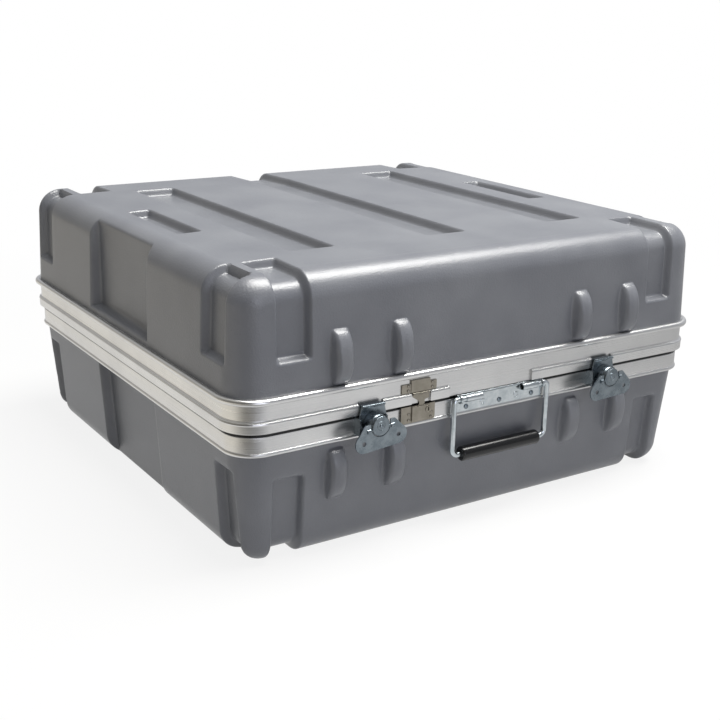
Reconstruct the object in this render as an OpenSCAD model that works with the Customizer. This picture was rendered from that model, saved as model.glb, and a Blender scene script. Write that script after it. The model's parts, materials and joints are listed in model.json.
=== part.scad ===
// Microphone carrying case, millimetres. The frame has its origin at the centre of the
// underside, +Z up, the latches on the -Y side and the hinges on the +Y side.
// An offset o is measured outwards from the outline of the lid band, and a height h from the
// seam between base and lid. A stand-off t is measured forwards from the base band's face.

/* [Case] */
// Width over the lid band
case_w = 610; // [520:5:700]
// Depth over the lid band
case_d = 580; // [500:5:660]
// Height of the base, from the underside to the seam
base_h = 148; // [130:1:180]
// Height of the lid, from the seam to the top
lid_h = 151; // [130:1:180]
// Radius of the case's corners, seen from above, at the lid band
corner_r = 35; // [32:0.5:44]
// Thickness of the moulded plastic
wall = 4; // [3:0.5:5]

/* [Moulded shells] */
// Inward lean of the lid's walls, per millimetre of height
lid_draft = 0.034; // [0.02:0.002:0.05]
// Inward lean of the base's walls, per millimetre of height
base_draft = 0.065; // [0.03:0.005:0.07]
// Radius of the lid's top edge
lid_edge_r = 28; // [22:1:29]
// Radius of the base's bottom edge
base_edge_r = 26; // [20:1:27]
// Depth of the channels that stiffen the walls and the top
channel_depth = 9; // [6:0.5:11]
// Width of the lid's channels beside the corners of the front and back walls
end_channel_w = 38; // [30:1:42]
// Distance of those channels from the case's middle
end_channel_x = 242; // [230:1:246]
// Width of the lid's channels beside the corners of the side walls
side_channel_w = 48; // [30:1:50]
// Distance of those channels from the case's middle
side_channel_y = 237; // [226:1:240]
// Width of the base's channels beside the corners
base_channel_w = 35; // [30:1:40]
// Distance of the base's channels from the case's middle
base_channel_at = 243.5; // [236:0.5:246]
// Width of the wide recess in each side wall
recess_w = 168; // [120:2:200]
// Depth of the wide recess
recess_depth = 13; // [8:0.5:14]
// Distance of the long top channels from the case's middle
top_channel_x = 170; // [150:1:180]
// Width of the long top channels
top_channel_w = 52; // [40:1:60]
// Length of the closed top channels
top_channel_l = 396; // [300:2:400]
// Width of the short top pockets
top_pocket_w = 27; // [20:1:32]
// Length of the short top pockets
top_pocket_l = 140; // [100:2:180]

/* [Guard bumpers] */
// Height of a half-moon bumper
bumper_h = 56; // [50:1:60]
// Projection of a bumper from the wall
bumper_proj = 14; // [10:0.5:16]
// Width of a bumper where it leaves the wall
bumper_w = 23; // [18:0.5:26]
// Distance from a latch's middle to each bumper beside it
bumper_gap = 35.5; // [34:0.5:40]

/* [Latches] */
// Distance of each latch from the case's middle
latch_x = 156; // [120:1:170]
// Travel of a latch hook over half a turn of its drum
hook_travel = 5; // [3:0.5:5]
// Radius of the latch drum
drum_r = 11; // [10:0.5:11]
// Half of the width across the butterfly wing
wing_half = 30.5; // [28:0.5:32]
// Turn at which each wing stands when the latch is closed
wing_rest = [4.8, 2.2]; // [0:0.1:6]

/* [Handle and lock] */
// Place of the handle's middle along the front
handle_x = 12; // [0:1:20]
// Width of the wire bail, between its arms' middles
bail_w = 127.5; // [122:0.5:130]
// Drop of the bail from its pivot to the middle of the grip
bail_drop = 62; // [50:1:66]
// Radius of the bail's wire
wire_r = 3.1; // [2.2:0.1:3.2]
// Radius of the rubber grip
grip_r = 8; // [6.5:0.1:8.2]
// Place of the lock's middle along the front
lock_x = -97; // [-105:1:-90]

/* [Foam insert] */
// Number of microphone wells in a row
well_cols = 6; // [4:1:6]
// Side of a square microphone well
well_w = 62; // [50:1:64]
// Thickness of the foam between two rows of wells
strip_w = 23; // [18:1:26]
// Thickness of the foam along the base's walls
liner_w = 28; // [20:1:30]
// Thickness of the foam pad on the floor
floor_foam = 25; // [15:1:30]
// Thickness of the foam in the lid
lid_foam_t = 85; // [60:1:86]

/* [Hidden] */
$fn = 48;

half_w = case_w / 2;
half_d = case_d / 2;
core_x = half_w - corner_r;
core_y = half_d - corner_r;
gap = 0.2;
clear = 0.3;
plastic_grey = "#6f7176";
alu = "#c9cacb";
zinc = "#9aa3a8";
nickel = "#b9b2a4";
rubber_black = "#1b1b1c";
foam_grey = "#3a3b3e";

// Aluminium bands: offsets and heights of their sections
sheet = 2.4;
base_face = -2.7;
band_base_h = 25.6;
lip_in = -9.8;
tongue_out = -5;
tongue_in = -7;
tongue_h = 4;
groove_side = 1.4;
groove_top = 6.4;
ridge_h = 12.6;
ridge_out = 2.5;
lid_bead_h = 32.2;
lid_bead_r = 3.5;
base_bead_h = 23;
base_bead_r = 2.6;
notch_h = 13.4;

// Plastic shells
lid_skirt_o = -sheet - 0.1;
lid_skirt_h = groove_top + sheet + 0.2;
lid_wall_h = 36;
base_wall_o = base_face - sheet - 0.1;
base_rim_h = -3.2;
base_corner_shift = 8;
end_reach = 215;
side_reach = 273;
lid_end_channel = [end_channel_x, end_channel_w, 66];
lid_side_channel = [side_channel_y, side_channel_w, 64];
base_end_channel = [base_channel_at, base_channel_w, 55];
base_side_channel = [base_channel_at, base_channel_w, 45];
lid_recess_h = 41;
base_recess_h = 30;
channel_slope = 2.2;
recess_slope = 6;
crown = 1.5;
crown_inset = 80;
hull_fn = 32;
edge_steps = 6;

// Latch stack, from the base band's face forwards
plate_t = 1.8;
latch_h = -7.5;
latch_half = 16.5;
leg_t0 = 6.8;
leg_t1 = 8.6;
drum_t0 = 8.9;
drum_t1 = 20.6;
cap_t1 = 24.2;
post_r = 3.5;
wing_t = 22.3;
wing_thick = 1.6;
wing_axis_h = -10;
wing_pin_r = 1.2;
knuckle_x = 13.9;
latch_bottom = -20.4;
bar_h0 = 8.2;
bar_h1 = 11.4;
bar_t1 = 10.6;

// Handle, lock and hinge
bail_t = 5.1;
bail_h = -5;
bail_bend = 7;
shoulder_r = 4;
sleeve_in = 28.5;
lock_half = 22;
lock_t = 4;
strike_o = 1.4;
strike_bottom = 12.9;
cylinder_r = 3.6;
hinge_x = latch_x;
hinge_o = 5.5;
knuckle_r = 4;
hinge_pin_r = 2.2;
hinge_half = 26;
knuckle_half = 11;
rivet_r = 1.6;
small_rivet_r = 1;

// Foam
foam_x = 272;
foam_y = 257;
foam_top = -4;
foam_floor_h = -base_h + wall + 0.5;
foam_seat = foam_floor_h + floor_foam;
foam_step = -base_h + channel_depth + wall + 0.5;
bay_x = foam_x - liner_w;
bay_y = foam_y - liner_w;
pitch_x = (2 * bay_x - well_w) / (well_cols - 1);
pitch_y = well_w + strip_w;

// Sections swept round the case's outline

module outline(o) {
    for (turn = [0, 1])
        square([2 * (core_x + turn * (corner_r + o)), 2 * (core_y + (1 - turn) * (corner_r + o))],
            center = true);
    for (sx = [-1, 1], sy = [-1, 1])
        translate([sx * core_x, sy * core_y]) circle(r = corner_r + o);
}

// Carries the 2D section (offset, height) round the outline: four straights, four corners
module sweep_round() {
    for (side = [0, 1])
        rotate([0, 0, 180 * side]) {
            translate([core_x, -core_y, 0]) rotate([90, 0, 180])
                mirror([1, 0, 0]) linear_extrude(2 * core_y) translate([corner_r, 0]) children();
            translate([core_x, core_y, 0]) rotate([90, 0, 90]) translate([0, 0, -2 * core_x])
                linear_extrude(2 * core_x) translate([corner_r, 0]) children();
        }
    corners = [[1, 1, 0], [-1, 1, 90], [-1, -1, 180], [1, -1, 270]];
    for (c = corners)
        translate([c[0] * core_x, c[1] * core_y, 0]) rotate([0, 0, c[2]])
            rotate_extrude(angle = 90) translate([corner_r, 0]) children();
}

module base_section() {
    polygon([[base_face, -gap], [base_face, -base_bead_h], [base_face - sheet / 2, -band_base_h + 0.4],
        [base_face - sheet, -band_base_h + 0.4], [base_face - sheet, -3], [lip_in, -3], [lip_in, -gap],
        [tongue_in, -gap], [tongue_in, tongue_h], [tongue_out, tongue_h], [tongue_out, -gap]]);
    translate([base_face - 1.2, -base_bead_h]) circle(r = base_bead_r, $fn = 24);
}

module lid_section() {
    polygon([[ridge_out, gap], [ridge_out, 8.6], [ridge_out + 0.5, 9.6], [ridge_out - 0.1, 11],
        [0, ridge_h], [0, 28.6], [0, lid_bead_h + 2.4], [-sheet, lid_bead_h + 2.4],
        [-sheet, groove_top + sheet], [lip_in, groove_top + sheet], [lip_in, gap],
        [tongue_in - groove_side, gap], [tongue_in - groove_side, groove_top],
        [tongue_out + groove_side, groove_top], [tongue_out + groove_side, gap]]);
    translate([lid_bead_r - 0.5, lid_bead_h]) circle(r = lid_bead_r, $fn = 24);
}

module gasket_section() {
    polygon([[tongue_out + groove_side - 0.1, groove_top - 0.05],
        [tongue_in - groove_side + 0.1, groove_top - 0.05],
        [tongue_in - groove_side + 0.5, tongue_h + 0.4], [tongue_out + groove_side - 0.5, tongue_h + 0.4]]);
}

// Places for the front hardware: x along the front, t forwards from the base band, h up
module at_front(x, t, h) {
    translate([x, -(half_d + base_face) - t, base_h + h]) children();
}

module at_back(x, t, h) {
    translate([x, half_d + base_face + t, base_h + h]) rotate([0, 0, 180]) children();
}

// A bar along Y, running forwards from its place
module forward_bar(r, length) {
    rotate([90, 0, 0]) cylinder(r = r, h = length);
}

// A box given by its sides, its stand-offs and its heights, in front of the base band
module front_box(x0, x1, t0, t1, h0, h1) {
    face = -(half_d + base_face);
    translate([x0, face - t1, base_h + h0]) cube([x1 - x0, t1 - t0, h1 - h0]);
}

module back_box(x0, x1, t0, t1, h0, h1) {
    rotate([0, 0, 180]) front_box(-x1, -x0, t0, t1, h0, h1);
}

// Riveting: x and h of each rivet on a plate, and the stand-off of the plate's front
latch_rivet_at = [for (sx = [-1, 1], h = [-5.2, -16.2]) [sx * 10.5, h]];
keeper_rivet_at = [for (sx = [-1, 1]) [sx * 7.5, 6.2]];
lock_rivet_at = [[-10.8, -10.9], [-10.8, -17.4], [17.6, -12.6], [17, -17.8]];
strike_rivet_at = [[-13.4, 15.4], [-13.4, 20.4], [16.8, 15.4], [16.8, 20.4]];
handle_rivet_at = [for (dx = [-45, 0, 45]) [dx, -15.6]];
hinge_base_rivet_at = [for (dx = [-19, 0, 19]) [dx, -13.5]];
hinge_lid_rivet_at = [for (dx = [-19, 0, 19]) [dx, 20]];

module rivet(plate_front, back, head_r = 2.8, shank_r = rivet_r) {
    translate([0, -back, 0]) forward_bar(shank_r, plate_front - back);
    translate([0, -plate_front, 0]) forward_bar(head_r, 0.5);
    translate([0, -plate_front - 0.5, 0]) rotate([90, 0, 0])
        intersection() {
            translate([0, 0, -head_r * 0.9]) sphere(r = head_r * 1.35);
            cylinder(r = head_r, h = 2);
        }
}

module rivet_holes(list, x0, back = false, shank_r = rivet_r) {
    for (p = list)
        if (back)
            at_back(x0 + p[0], -8, p[1]) forward_bar(shank_r + 0.02, 16);
        else
            at_front(x0 + p[0], -8, p[1]) forward_bar(shank_r + 0.02, 16);
}

module base_valance() {
    color(alu) difference() {
        translate([0, 0, base_h]) sweep_round() base_section();
        for (sx = [-1, 1]) {
            rivet_holes(latch_rivet_at, sx * latch_x);
            rivet_holes(hinge_base_rivet_at, sx * hinge_x, true);
        }
        rivet_holes(lock_rivet_at, lock_x, shank_r = small_rivet_r);
        rivet_holes(handle_rivet_at, handle_x);
    }
}

// The lid band's lower ridge is cut away where the hardware crosses the seam
module lid_valance() {
    notches = [[-latch_x, 14.8], [latch_x, 14.8], [lock_x + 2.5, 12], [handle_x - 14.5, 56]];
    color(alu) difference() {
        translate([0, 0, base_h]) sweep_round() lid_section();
        for (n = notches)
            front_box(n[0] - n[1], n[0] + n[1], -base_face, 10, 0, notch_h);
        for (sx = [-1, 1])
            back_box(sx * hinge_x - hinge_half - 1, sx * hinge_x + hinge_half + 1,
                -base_face, 10, 0, notch_h);
        for (sx = [-1, 1]) {
            rivet_holes(keeper_rivet_at, sx * latch_x);
            rivet_holes(hinge_lid_rivet_at, sx * hinge_x, true);
        }
        rivet_holes(strike_rivet_at, lock_x, shank_r = small_rivet_r);
    }
}

module lid_gasket() {
    color(rubber_black) translate([0, 0, base_h]) sweep_round() gasket_section();
}

// Half sections of the shells' corners, d inside their outer faces, as [radius, height]

function lid_corner(d, foot) = concat(
    [[0, foot], [corner_r - 0.3 - d, foot]],
    [for (i = [0:edge_steps]) let (a = 90 * i / edge_steps, e = lid_edge_r - d,
        rim = corner_r - 0.3 - lid_draft * (lid_h - lid_edge_r - lid_wall_h) - lid_edge_r)
        [rim + e * cos(a), lid_h - crown - lid_edge_r + e * sin(a)]],
    [[0, lid_h - crown - d]]);

function base_corner(d) = concat(
    [[0, -40]],
    [for (i = [0:edge_steps]) let (a = 90 * i / edge_steps, e = base_edge_r - d,
        rim = corner_r + base_corner_shift + base_wall_o
            - base_draft * (base_h - base_edge_r) - base_edge_r)
        [rim + e * cos(a), -base_h + base_edge_r - e * sin(a)]],
    [[0, -base_h + d]]);

module at_corners(inset) {
    for (sx = [-1, 1], sy = [-1, 1])
        translate([sx * (core_x - inset), sy * (core_y - inset), 0]) children();
}

// The lid as a solid with drafted walls, a round top edge and a slight crown
module lid_solid(d, foot) {
    hull() {
        at_corners(0) rotate_extrude($fn = hull_fn) polygon(lid_corner(d, foot));
        translate([0, 0, lid_h - d - 0.5])
            cube([case_w - 2 * crown_inset, case_d - 2 * crown_inset, 1], center = true);
    }
}

module base_solid(d, rim) {
    hull() {
        at_corners(0) translate([0, 0, rim - 0.1])
            cylinder(r = corner_r + base_wall_o - d, h = 0.1, $fn = hull_fn);
        at_corners(base_corner_shift) rotate_extrude($fn = hull_fn) polygon(base_corner(d));
    }
}

// A slot's plan, its open end at y = mouth and its floor at y = floor_y; g widens it
module slot_plan(w, floor_y, mouth, g) {
    half = w / 2 + g;
    polygon([[-half, mouth], [half, mouth], [half - channel_slope, floor_y], [half - channel_slope, 0],
        [channel_slope - half, 0], [channel_slope - half, floor_y]]);
}

// Slots of the front and back walls and of the side walls, which run over the edge onto the
// top or the underside; each is given as its distance from the middle, its width and its start
module edge_slots(ends, sides, h1, g) {
    for (sx = [-1, 1], turn = [0, 180])
        rotate([0, 0, turn]) translate([sx * ends[0], end_reach - g, ends[2] - g])
            linear_extrude(h1 - ends[2] + 2 * g)
                slot_plan(ends[1], half_d - end_reach - channel_depth, 90, g);
    for (sy = [-1, 1], turn = [-90, 90])
        rotate([0, 0, turn]) translate([sy * sides[0], side_reach - g, sides[2] - g])
            linear_extrude(h1 - sides[2] + 2 * g)
                slot_plan(sides[1], half_w - side_reach - channel_depth, 60, g);
}

// The wide recess in each side wall, with sloping ends and a flat floor
module side_recess(h0, h1, lean, g) {
    for (turn = [-90, 90])
        rotate([0, 0, turn]) translate([0, half_w - recess_depth - g, h0 - g]) rotate([-lean, 0, 0])
            linear_extrude(h1 - h0 + 2 * g)
                polygon([[-recess_w / 2 - g, 40], [recess_w / 2 + g, 40],
                    [recess_w / 2 + g, recess_depth + g], [recess_w / 2 + g - recess_slope, 0],
                    [recess_slope - recess_w / 2 - g, 0], [-recess_w / 2 - g, recess_depth + g]]);
}

// A tapered slot cut into the top, centred on the origin
module top_slot(w, l, g) {
    hull() {
        translate([0, 0, lid_h + 4]) cube([w + 2 * g, l + 2 * g, 4], center = true);
        translate([0, 0, lid_h - channel_depth - 8]) cube([w + 2 * g - 2 * channel_slope,
            l + 2 * g - 2 * channel_slope, 4], center = true);
    }
}

module lid_slots(g) {
    edge_slots(lid_end_channel, lid_side_channel, lid_h + 10, g);
    for (sx = [-1, 1]) {
        translate([sx * top_channel_x, 0, 0]) top_slot(top_channel_w, top_channel_l, g);
        translate([sx * (end_channel_x + 2), 4, 0]) top_slot(top_pocket_w, top_pocket_l, g);
    }
    translate([-top_channel_w / 2 - g, -top_channel_l / 2 - g, lid_end_channel[2] - g])
        cube([top_channel_w + 2 * g, case_d, case_d]);
}

// Half-moon guard bumpers beside the latches and the hinges: slices of a bevelled disc
module bumpers(h, wall_y) {
    r = (bumper_h * bumper_h / 4 + bumper_proj * bumper_proj) / (2 * bumper_proj);
    for (turn = [0, 180], sx = [-1, 1], side = [-1, 1])
        rotate([0, 0, turn]) intersection() {
            translate([sx * latch_x + side * bumper_gap, -wall_y + r - bumper_proj, h])
                rotate([0, 90, 0]) rotate_extrude($fn = 64)
                    polygon([[0, -bumper_w / 2], [r - bumper_proj, -bumper_w / 2],
                        [r - 2, -bumper_w / 2 + 3], [r, -bumper_w / 2 + 5],
                        [r, bumper_w / 2 - 5], [r - 2, bumper_w / 2 - 3],
                        [r - bumper_proj, bumper_w / 2], [0, bumper_w / 2]]);
            translate([-half_w, -wall_y - bumper_proj - 1, h - bumper_h / 2])
                cube([case_w, bumper_proj + 6, bumper_h]);
        }
}

module lid_outer() {
    lid_solid(channel_depth, lid_wall_h);
    difference() {
        lid_solid(0, lid_wall_h);
        lid_slots(0);
    }
}

module lid_inner() {
    lid_solid(channel_depth + wall, lid_wall_h + 0.3);
    difference() {
        lid_solid(wall, lid_wall_h + 0.3);
        lid_slots(wall);
    }
}

module lid_shell() {
    color(plastic_grey) translate([0, 0, base_h]) difference() {
        union() {
            difference() {
                lid_outer();
                side_recess(lid_recess_h, lid_h + 10, 0, 0);
            }
            translate([0, 0, lid_skirt_h]) linear_extrude(lid_wall_h - lid_skirt_h + 1)
                outline(lid_skirt_o);
            bumpers(64, half_d - 2);
        }
        difference() {
            lid_inner();
            side_recess(lid_recess_h, lid_h + 10, 0, wall);
        }
        linear_extrude(lid_wall_h + 0.6) outline(lid_skirt_o - wall);
    }
}

module base_outer() {
    base_solid(channel_depth, base_rim_h);
    difference() {
        base_solid(0, base_rim_h);
        mirror([0, 0, 1]) edge_slots(base_end_channel, base_side_channel, base_h + 10, 0);
    }
}

module base_inner() {
    base_solid(channel_depth + wall, 0);
    difference() {
        base_solid(wall, 0);
        mirror([0, 0, 1]) edge_slots(base_end_channel, base_side_channel, base_h + 10, wall);
    }
}

module base_shell() {
    lean = atan(base_draft);
    color(plastic_grey) translate([0, 0, base_h]) difference() {
        union() {
            difference() {
                base_outer();
                mirror([0, 0, 1]) side_recess(base_recess_h, base_h + 20, -lean, 5);
            }
            bumpers(-61, half_d - 8);
        }
        difference() {
            base_inner();
            mirror([0, 0, 1]) side_recess(base_recess_h, base_h + 20, -lean, 5 + wall);
        }
    }
}

// Foam insert: a floor pad, four wall pads, and a grid of square wells beside two bays

module foam_box(x0, x1, y0, y1, h0, h1) {
    color(foam_grey) translate([x0, y0, base_h + h0]) cube([x1 - x0, y1 - y0, h1 - h0]);
}

module base_foam_floor() {
    foam_box(-foam_x + 10, foam_x - 10, -foam_y + 48, foam_y - 48, foam_floor_h, foam_step);
    foam_box(-foam_x + 7, foam_x - 7, -foam_y + 7, foam_y - 7, foam_step, foam_seat - 0.1);
}

module base_foam_front() {
    foam_box(-foam_x, foam_x, -foam_y, -bay_y - 0.1, foam_seat, foam_top);
}

module base_foam_back() {
    foam_box(-foam_x, foam_x, bay_y + 0.1, foam_y, foam_seat, foam_top);
}

module base_foam_left() {
    foam_box(-foam_x, -bay_x - 0.1, -bay_y, bay_y, foam_seat, foam_top);
}

module base_foam_right() {
    foam_box(bay_x + 0.1, foam_x, -bay_y, bay_y, foam_seat, foam_top);
}

module mic_strip(row) {
    y0 = -bay_y + row * pitch_y - strip_w;
    foam_box(-bay_x, bay_x, y0 + 0.1, y0 + strip_w - 0.1, foam_seat, foam_top);
}

module mic_cells(row) {
    y0 = -bay_y + (row - 1) * pitch_y;
    for (i = [1:well_cols - 1])
        foam_box(-bay_x + i * pitch_x - pitch_x + well_w, -bay_x + i * pitch_x,
            y0, y0 + well_w, foam_seat, foam_top);
}

module mic_strip_1() { mic_strip(1); }
module mic_strip_2() { mic_strip(2); }
module mic_strip_3() { mic_strip(3); }
module mic_cells_1() { mic_cells(1); }
module mic_cells_2() { mic_cells(2); }
module mic_cells_3() { mic_cells(3); }

module bay_divider() {
    y0 = -bay_y + 3 * pitch_y;
    foam_box(-strip_w / 2, strip_w / 2, y0, bay_y, foam_seat, foam_top);
}

module lid_foam() {
    top = lid_h - channel_depth - wall - 2.5;
    foam_box(-foam_x, foam_x, -foam_y, foam_y, top - lid_foam_t, top);
}

// Rotary latches: body, hook, drum with its cap, folding butterfly wing, and keeper on the lid

module latch_body(x) {
    color(zinc) difference() {
        union() {
            front_box(x - latch_half, x + latch_half, 0, plate_t, latch_bottom, -0.9);
            for (sx = [-1, 1])
                front_box(x + sx * 15.3 - 1.2, x + sx * 15.3 + 1.2, 0, bar_t1, latch_bottom, -2.2);
        }
        at_front(x, -1, latch_h) forward_bar(post_r + 0.06, plate_t + 2);
        rivet_holes(latch_rivet_at, x);
    }
}

module hook(x) {
    leg = 13.4;
    ear = 15.8;
    slot = post_r + clear;
    color(zinc) difference() {
        union() {
            at_front(x, leg_t0, 0) rotate([90, 0, 0]) linear_extrude(leg_t1 - leg_t0)
                polygon([[-leg, bar_h0 + 1], [leg, bar_h0 + 1], [ear, -0.8], [ear, -1.8], [leg, -1.8],
                    [leg, latch_bottom], [-leg, latch_bottom], [-leg, -1.8], [-ear, -1.8],
                    [-ear, -0.8]]);
            front_box(x - leg, x + leg, leg_t0, bar_t1 - 1.6, bar_h0, bar_h1);
            at_front(x, bar_t1 - 1.6, (bar_h0 + bar_h1) / 2) rotate([0, 90, 0])
                cylinder(r = 1.6, h = 2 * leg, center = true);
        }
        front_box(x - slot, x + slot, leg_t0 - 1, leg_t1 + 1, latch_bottom - 1, latch_h);
        at_front(x, leg_t0 - 1, latch_h) forward_bar(slot, leg_t1 - leg_t0 + 2);
    }
}

// A place on the wing's pin, with the wing turned about the drum's axis
module at_wing(x, t, rest) {
    at_front(x, t, latch_h) rotate([0, -rest, 0]) translate([0, 0, wing_axis_h - latch_h]) children();
}

module drum(x, rest) {
    color(zinc) difference() {
        union() {
            at_front(x, 0.1, latch_h) forward_bar(post_r, drum_t0);
            at_front(x, drum_t0, latch_h) forward_bar(drum_r, drum_t1 - drum_t0 - 1);
            at_front(x, drum_t1 - 1, latch_h) rotate([90, 0, 0])
                cylinder(r1 = drum_r, r2 = drum_r - 0.5, h = 1);
            at_front(x, drum_t1, latch_h) forward_bar(drum_r - 0.8, cap_t1 - drum_t1 - 0.6);
            at_front(x, cap_t1 - 0.6, latch_h) rotate([90, 0, 0])
                cylinder(r1 = drum_r - 0.8, r2 = drum_r - 1.4, h = 0.6);
            at_front(x, cap_t1 - 0.15, latch_h) rotate([90, 0, 0]) rotate_extrude()
                translate([4.4, 0]) circle(r = 0.6, $fn = 24);
            at_front(x, cap_t1, latch_h) rotate([90, 0, 0]) intersection() {
                translate([0, 0, -1.6]) sphere(r = 3);
                cylinder(r = 2.2, h = 3);
            }
        }
        at_wing(x, wing_t, rest) rotate([0, 90, 0])
            cylinder(r = wing_pin_r + 0.02, h = 60, center = true);
    }
}

module wing_pin(x, rest) {
    color(zinc) at_wing(x, wing_t, rest) rotate([0, 90, 0])
        cylinder(r = wing_pin_r, h = 2 * knuckle_x + 3.2, center = true);
}

// The wing's outline, about the drum's axis: two round lobes joined under the drum
module wing_outline() {
    lobe_r = 10;
    lobe = [wing_half - lobe_r, -14.2];
    inner = drum_r + 0.6;
    difference() {
        union() {
            for (sx = [-1, 1]) {
                translate([sx * lobe[0], lobe[1]]) circle(r = lobe_r);
                translate([sx * 16.4, 2.4]) circle(r = 2);
            }
            polygon([[-16.4, 4.4], [16.4, 4.4], [18.1, 3.5], [wing_half - 2.3, -8],
                [lobe[0], lobe[1] - lobe_r], [-lobe[0], lobe[1] - lobe_r], [2.3 - wing_half, -8],
                [-18.1, 3.5]]);
        }
        circle(r = drum_r + 0.4);
        translate([-inner, wing_axis_h - latch_h]) square([2 * inner, 20]);
        for (sx = [-1, 1]) translate([sx * lobe[0], lobe[1]]) circle(r = 2.3);
    }
}

module wing(x, rest) {
    color(zinc) difference() {
        union() {
            at_front(x, wing_t - wing_thick / 2, latch_h) rotate([90, 0, 0])
                rotate([0, 0, rest]) linear_extrude(wing_thick) wing_outline();
            for (sx = [-1, 1])
                at_wing(x, wing_t, rest) translate([sx * knuckle_x, 0, 0]) rotate([0, 90, 0])
                    cylinder(r = 2.3, h = 4.2, center = true);
        }
        at_wing(x, wing_t, rest) rotate([0, 90, 0])
            cylinder(r = wing_pin_r + 0.05, h = 2 * knuckle_x + 3.4, center = true);
    }
}

module keeper(x) {
    color(zinc) difference() {
        front_box(x - 12.3, x + 12.3, -base_face, -base_face + 1.3, 1.2, 10.4);
        rivet_holes(keeper_rivet_at, x);
    }
}

module latch_body_left() { latch_body(-latch_x); }
module latch_body_right() { latch_body(latch_x); }
module hook_left() { hook(-latch_x); }
module hook_right() { hook(latch_x); }
module drum_left() { drum(-latch_x, wing_rest[0]); }
module drum_right() { drum(latch_x, wing_rest[1]); }
module wing_pin_left() { wing_pin(-latch_x, wing_rest[0]); }
module wing_pin_right() { wing_pin(latch_x, wing_rest[1]); }
module wing_left() { wing(-latch_x, wing_rest[0]); }
module wing_right() { wing(latch_x, wing_rest[1]); }
module keeper_left() { keeper(-latch_x); }
module keeper_right() { keeper(latch_x); }

module latch_rivets() {
    color(zinc) for (sx = [-1, 1], p = latch_rivet_at)
        at_front(sx * latch_x + p[0], 0, p[1]) rivet(plate_t, -sheet, 2.4);
}

module keeper_rivets() {
    color(zinc) for (sx = [-1, 1], p = keeper_rivet_at)
        at_front(sx * latch_x + p[0], 0, p[1]) rivet(-base_face + 1.3, -base_face - sheet, 2.2);
}

// Key lock: a strike on the lid with two riveted tabs, a rolled bar and a tongue, which steps
// back below the seam and drops into the lock body's slot

module lock_strike() {
    o = -base_face;
    color(nickel) difference() {
        union() {
            front_box(lock_x - 21.5, lock_x + lock_half, o, o + strike_o, strike_bottom, 22.4);
            front_box(lock_x - 10.2, lock_x + 13.4, o, o + strike_o + 0.6, strike_bottom, 26);
            at_front(lock_x, o + 0.1, 0) rotate([90, 0, 0]) linear_extrude(strike_o)
                polygon([[-8.5, 13.6], [-8.5, 8.4], [0.4, 2.2], [0.4, -1.4], [7.4, -1.4],
                    [7.4, 3], [13, 4.6], [13, 13.6]]);
            front_box(lock_x + 0.7, lock_x + 7.1, 1.5, o + 0.4, -7.4, -0.5);
            at_front(lock_x + 2.25, o + 1.9, 11) rotate([0, 90, 0])
                cylinder(r = 1.5, h = 21, center = true);
        }
        rivet_holes(strike_rivet_at, lock_x, shank_r = small_rivet_r);
    }
}

module strike_rivets() {
    color(nickel) for (p = strike_rivet_at)
        at_front(lock_x + p[0], 0, p[1])
            rivet(-base_face + strike_o, -base_face - sheet, 1.7, small_rivet_r);
}

cylinder_x = lock_x + 12.6;
cylinder_h = -8.4;

module lock_body() {
    color(nickel) difference() {
        union() {
            front_box(lock_x - 20.5, lock_x + lock_half, 0, lock_t - 1.4, latch_bottom, -2.6);
            front_box(lock_x - 7.6, lock_x + 14.4, 0, lock_t - 0.6, -19.2, -2.6);
            front_box(lock_x - 7.6, lock_x + 14.4, 0, lock_t, -18.4, -3.4);
            at_front(cylinder_x, 0, cylinder_h) forward_bar(cylinder_r + 1, lock_t);
        }
        front_box(lock_x - 0.2, lock_x + 8, 1, lock_t - 0.7, -8.4, 0);
        at_front(cylinder_x, 0.8, cylinder_h) forward_bar(cylinder_r + 0.05, 10);
        rivet_holes(lock_rivet_at, lock_x, shank_r = small_rivet_r);
    }
}

module lock_cylinder() {
    color(nickel) difference() {
        at_front(cylinder_x, 1, cylinder_h) forward_bar(cylinder_r, lock_t - 0.4);
        front_box(cylinder_x - 0.5, cylinder_x + 0.5, lock_t - 2, lock_t + 2,
            cylinder_h - 2.2, cylinder_h + 2.2);
    }
}

module lock_rivets() {
    color(nickel) for (p = lock_rivet_at)
        at_front(lock_x + p[0], 0, p[1]) rivet(lock_t - 1.4, -sheet, 1.7, small_rivet_r);
}

// Handle: a plate with rolled sleeves and end lugs, a wire bail and a rubber grip

module handle_plate() {
    half = 58.5;
    boss_r = wire_r + 1;
    lug_r = wire_r + 1.6;
    flange_r = 1.9;
    color(zinc) difference() {
        union() {
            front_box(handle_x - half, handle_x + half, 0, 1.5, latch_bottom, -0.5 - flange_r);
            at_front(handle_x, flange_r, -0.5 - flange_r) rotate([0, 90, 0])
                cylinder(r = flange_r, h = 2 * half, center = true);
            for (sx = [-1, 1]) {
                at_front(handle_x + sx * 38.5, bail_t, bail_h) rotate([0, 90, 0])
                    cylinder(r = boss_r, h = 21, center = true);
                front_box(handle_x + sx * 38.5 - 10.5, handle_x + sx * 38.5 + 10.5, 1, bail_t,
                    bail_h - boss_r, bail_h);
                at_front(handle_x + sx * 56, bail_t, bail_h) rotate([0, 90, 0])
                    cylinder(r = lug_r, h = 2, center = true);
                front_box(handle_x + sx * 56 - 1, handle_x + sx * 56 + 1, 1, bail_t,
                    bail_h - lug_r, bail_h);
                at_front(handle_x + sx * 23, 1.4, -13.8) rotate([90, 0, 0]) rotate_extrude()
                    translate([2.9, 0]) circle(r = 0.7, $fn = 24);
            }
        }
        at_front(handle_x, bail_t, bail_h) rotate([0, 90, 0])
            cylinder(r = wire_r + 0.06, h = 140, center = true);
        rivet_holes(handle_rivet_at, handle_x);
    }
}

module handle_rivets() {
    color(zinc) for (p = handle_rivet_at)
        at_front(handle_x + p[0], 0, p[1]) rivet(1.5, -sheet, 2.8);
}

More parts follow.
